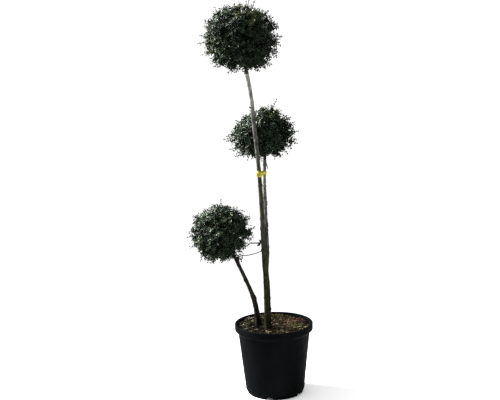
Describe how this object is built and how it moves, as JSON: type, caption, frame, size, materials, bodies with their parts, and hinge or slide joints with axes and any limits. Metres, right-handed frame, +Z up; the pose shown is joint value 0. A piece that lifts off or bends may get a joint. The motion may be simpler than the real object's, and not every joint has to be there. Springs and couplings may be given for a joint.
{
  "type": "potted privet trained as three clipped balls",
  "caption": "Multi-stem topiary privet with clipped balls of small dark leaves at different heights, a yellow tie and a thin string, in a black round nursery pot with soil.",
  "frame": {"origin": "centre of the flat underside of the pot, on the ground", "axes": "+Z up; -Y is the side seen in the picture, with the lowest ball on the left (-X)"},
  "size_m": [0.429, 0.309, 1.399],
  "materials": {
    "pot_plastic": "black polypropylene, matte, a little dusty",
    "soil": "moist potting mix with bark and straw bits",
    "bark": "grey-brown bark, olive below",
    "foliage": "small dark glossy leaves",
    "tie_tape": "soft yellow tape",
    "string": "thin grey twine"
  },
  "bodies": {
    "root": {"pot": "pot_plastic", "soil": "soil", "trunk": "bark", "middle_stem": "bark", "low_stem": "bark", "top_ball": "foliage", "middle_ball": "foliage", "lower_ball": "foliage", "tie": "tie_tape", "string": "string"}
  },
  "joints": []
}
